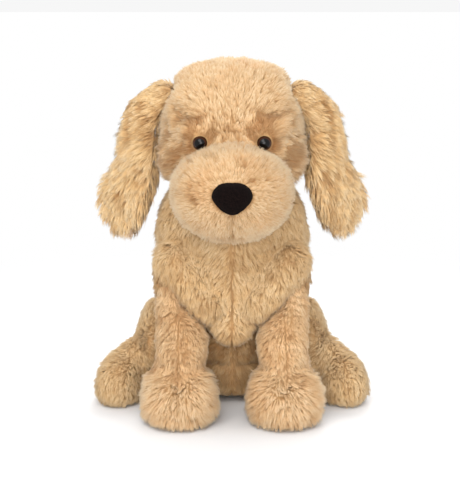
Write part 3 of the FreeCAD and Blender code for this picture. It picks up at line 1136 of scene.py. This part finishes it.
head_fill = ([(mirror(EYE_BACK, side), 10.5 * MM) for _, side in SIDES]
             + [(NOSE + np.array((0, 9 * MM, 0)), 12 * MM)])
padded("neck", [(NECK, 54 * MM)])
padded("torso", shoulder_fill(1) + shoulder_fill(-1), sculpt_torso, TORSO_SEAMS)
padded("head", head_fill, sculpt_head, HEAD_SEAMS)
padded("tail", voxel=3 * MM)
for label, side in SIDES:
    padded("front_leg_" + label, (), sculpt_front_leg(side), front_leg_seams(side), blend=leg_blend(side))
    padded("hind_leg_" + label, ankle_fill(side), sculpt_hind_leg(side), hind_leg_seams(side))
    panels = (f"ear_{label}_outer", f"ear_{label}_lining")
    padded("ear_" + label, form=make_ear_form("cloth_ear_" + label, panels, side), nodes=panels,
           blend=ear_blend(side))

TREES = {}
graph = bpy.context.evaluated_depsgraph_get()
for name, piece in CLOTH.items():
    points = coords(piece.data)
    TREES[name] = (BVHTree.FromObject(piece, graph), points.min(0), points.max(0))


# ---- grow the pile ----
BASE_TOP = BASE_SEAM_Z + 4.5 * MM
LIMB = dict(tuft=5.0, hold=0.25, wander=0.36, ragged=0.08)


def anywhere(p):
    return np.ones(len(p), bool)


def in_front(p):
    return p[:, 1] < SIDE_SEAM_Y


def half_panels(name, test):
    """The left and right panel of a mirrored pair."""
    return [(f"{name}_{label}", lambda p, side=side: (side * p[:, 0] > 0) & test(p))
            for label, side in SIDES]


def grow_torso():
    pile = Pile(1.75, torso_length, 1.0, torso_comb, 0.21, 5.0, 0.24, 0.36,
                ragged=0.08, shade=torso_tone_and_painted_shade)
    panels = ([("base_panel", lambda p: p[:, 2] < BASE_TOP)]
              + half_panels("belly_panel", lambda p: in_front(p) & (p[:, 2] < BELLY_SEAM_Z))
              + half_panels("chest_panel", in_front)
              + half_panels("back_panel", anywhere))
    near = ("head", "front_leg_left", "front_leg_right", "hind_leg_left", "hind_leg_right", "tail")
    panel_pieces("torso", pile, TORSO_SEAMS, panels, near, PLUSH["body"], torso_bare)


def grow_head():
    pile = Pile(2.7, head_length, head_lean, head_comb, 0.18, 4.0, 0.33, 0.4,
                ragged=0.11, shade=head_tone_and_painted_light)
    panels = ([("muzzle_top", lambda p: (in_muzzle(p) > 0.5) & (p[:, 2] > MUZZLE_SEAM_Z))]
              + half_panels("muzzle_lower", lambda p: in_muzzle(p) > 0.5)
              + [("head_gusset", lambda p: abs(p[:, 0]) < GUSSET_X)]
              + half_panels("face_side", in_front)
              + half_panels("head_back", anywhere))
    panel_pieces("head", pile, HEAD_SEAMS, panels, ("torso", "ear_left", "ear_right"), PLUSH["face"],
                 head_bare)


def grow_neck():
    panel_pieces("neck", Pile(1.8, 5, 0.4, neck_comb, **LIMB), [], [("neck_stuffing", anywhere)],
                 ("torso", "head"), PLUSH["body"], neck_bare)


def grow_tail():
    panels = [("tail_upper", lambda p: p[:, 2] > TAIL_ROOT[2]), ("tail_lower", anywhere)]
    panel_pieces("tail", Pile(1.8, 7, 0.9, tail_comb, **LIMB), [], panels, ("torso",),
                 PLUSH["body"], tail_bare)


def grow_front_leg(leg, side):
    pile = Pile(2.0, front_leg_length, front_leg_lean, front_leg_comb(side), shade=front_leg_shade, **LIMB)
    panels = [(leg + "_sole", lambda p: p[:, 2] < SOLE_TOP),
              (leg + "_outer", lambda p: side * p[:, 0] > LEG_SEAM_X),
              (leg + "_inner", anywhere)]
    panel_pieces(leg, pile, front_leg_seams(side), panels, ("torso",), PLUSH["paw"],
                 blend=leg_blend(side))


def grow_hind_leg(leg, side, front_leg):
    pile = Pile(1.8, hind_leg_length, 0.9, hind_leg_comb(side), **LIMB)
    panels = [(leg + "_sole", lambda p: p[:, 2] < SOLE_TOP),
              (leg + "_foot_top", lambda p: p[:, 1] < 12 * MM),
              (leg + "_thigh_outer", lambda p: side * p[:, 0] > HIP[0]),
              (leg + "_thigh_inner", anywhere)]
    panel_pieces(leg, pile, hind_leg_seams(side), panels, ("torso", front_leg), PLUSH["body"])


def grow_ear(ear, side):
    pile = Pile(1.7, ear_length, 1.22, ear_comb(side), 0.2, 4.5, 0.3, 0.2, 2, 0.08, ear_shade)
    panels = [(ear + "_outer", lambda p: (p - ear_middle(side, p[:, 2])) @ ear_thick(side) > 0),
              (ear + "_lining", anywhere)]
    panel_pieces(ear, pile, [], panels, ("head",), PLUSH["ear"], blend=ear_blend(side))


grow_torso()
grow_head()
grow_neck()
grow_tail()
for label, side in SIDES:
    grow_front_leg("front_leg_" + label, side)
    grow_hind_leg("hind_leg_" + label, side, "front_leg_" + label)
    grow_ear("ear_" + label, side)


# ---- nose ----
NOSE_RINGS = 14
NOSE_SPOKES = 96
NOSE_RISE = 2.0 * MM        # the nose is widest this far above its middle
# Half of the outline from top to bottom, seen from the front
NOSE_HALF_OUTLINE = np.array([
    (0, 10.4), (6.0, 10.4), (10.2, 9.2), (14.0, 6.0), (16.5, 2.0), (16.9, 0),
    (16.0, -3.2), (12.8, -7.8), (9.2, -11.4), (5.6, -14.0), (2.4, -15.4), (0, -15.8)]) * MM
NOSE_OUTLINE = np.concatenate([NOSE_HALF_OUTLINE, NOSE_HALF_OUTLINE[1:-1] * (-1, 1)])


def make_nose():
    """A padded felt nose: a rounded diamond with a flatter top."""
    turns = np.arctan2(NOSE_OUTLINE[:, 1], NOSE_OUTLINE[:, 0])
    angles = np.arange(NOSE_SPOKES) * 2 * math.pi / NOSE_SPOKES - math.pi
    reach = np.interp(angles, turns, np.hypot(*NOSE_OUTLINE.T), period=2 * math.pi)
    for _ in range(3):
        reach = (np.roll(reach, 1) + 2 * reach + np.roll(reach, -1)) / 4
    spokes = np.stack([reach * np.cos(angles), reach * np.sin(angles) + NOSE_RISE], 1)
    front = NOSE[1] - NOSE_HALF[1]
    depth = 2 * NOSE_HALF[1] - 2.5 * MM
    rings = [(share, 1 - math.sqrt(1 - share ** 2.4)) for share in np.linspace(0, 1, NOSE_RINGS + 1)]
    form = bmesh.new()
    loops = [[form.verts.new((x * share, front + depth * back, NOSE[2] + z * share)) for x, z in spokes]
             for share, back in rings + [(0.8, 1.12), (0, 1.12)]]
    for inner, outer in zip(loops, loops[1:]):
        for index in range(NOSE_SPOKES):
            form.faces.new((inner[index - 1], outer[index - 1], outer[index], inner[index]))
    bmesh.ops.remove_doubles(form, verts=form.verts, dist=0.001 * MM)
    bmesh.ops.recalc_face_normals(form, faces=form.faces)
    mesh = bpy.data.meshes.new("felt_nose")
    form.to_mesh(mesh)
    form.free()
    points = coords(mesh)
    place(mesh, points + normals(mesh) * (0.25 * MM * noise(points, 2.2))[:, None])
    piece = link("felt_nose", mesh)
    refine(piece)
    attach(piece, "head", ("nose_cover", "nose_padding"), FINISHES["nose_felt"])


make_nose()


# ---- floor, light, camera ----
FLOOR_REACH = 6.0
FLOOR_FADE = (0.2, 0.6)       # from the dog, where the floor turns into the white backdrop
CAMERA_DISTANCE = 1.3
CAMERA_ELEVATION = math.radians(12)
CAMERA_LENS = 110.1
VIEW_MIDDLE = Vector((-1.7, 0, 130.6)) * MM


def make_floor():
    mesh = bpy.data.meshes.new("floor")
    corners = np.array([(-1, -1, 0), (1, -1, 0), (1, 1, 0), (-1, 1, 0)]) * FLOOR_REACH
    mesh.from_pydata(corners, [], [(0, 1, 2, 3)])
    material, tree, shader = new_material("floor_white")
    feed(shader, {"Base Color": (0.845, 0.845, 0.85, 1), "Roughness": 0.9, "Specular IOR Level": 0.1})
    far = add(tree, "ShaderNodeVectorMath", {0: place_in_object(tree)}, operation="LENGTH")
    fade = add(tree, "ShaderNodeMapRange",
               {"Value": far.outputs["Value"], "From Min": FLOOR_FADE[0], "From Max": FLOOR_FADE[1]},
               interpolation_type="SMOOTHSTEP")
    white = add(tree, "ShaderNodeEmission")
    mix = add(tree, "ShaderNodeMixShader",
              {0: fade.outputs["Result"], 1: shader.outputs["BSDF"], 2: white.outputs["Emission"]})
    feed(tree.nodes["Material Output"], {"Surface": mix.outputs["Shader"]})
    mesh.materials.append(material)
    link("floor", mesh)


def aim(thing, place_at, toward):
    """Put a light or camera at a place, looking toward another."""
    bpy.context.scene.collection.objects.link(thing)
    thing.location = place_at
    thing.rotation_mode = "QUATERNION"
    thing.rotation_quaternion = (Vector(toward) - Vector(place_at)).to_track_quat("-Z", "Y")


def make_light(name, place_at, height, size, watts):
    """A round soft light aimed at a height on the dog's middle line."""
    data = bpy.data.lights.new(name, "AREA")
    data.shape = "DISK"
    data.size = size
    data.energy = watts
    aim(bpy.data.objects.new(name, data), place_at, (0, 0, height))


def make_world(strength):
    world = bpy.data.worlds.new("studio")
    world.use_nodes = True
    feed(world.node_tree.nodes["Background"], {"Color": WHITE, "Strength": strength})
    bpy.context.scene.world = world


def make_camera():
    data = bpy.data.cameras.new("camera")
    data.lens = CAMERA_LENS
    camera = bpy.data.objects.new("camera", data)
    away = Vector((0, -math.cos(CAMERA_ELEVATION), math.sin(CAMERA_ELEVATION)))
    aim(camera, VIEW_MIDDLE + away * CAMERA_DISTANCE, VIEW_MIDDLE)
    bpy.context.scene.camera = camera


make_floor()
make_world(0.93)
make_light("key", (-0.25, -1.0, 1.0), 0.12, 0.9, 8.5)
make_light("front", (0.15, -1.9, 0.45), 0.1, 1.2, 16)
make_light("rim", (0.2, 1.1, 1.2), 0.15, 1.0, 11)
make_camera()
bpy.context.scene.view_settings.view_transform = "Standard"
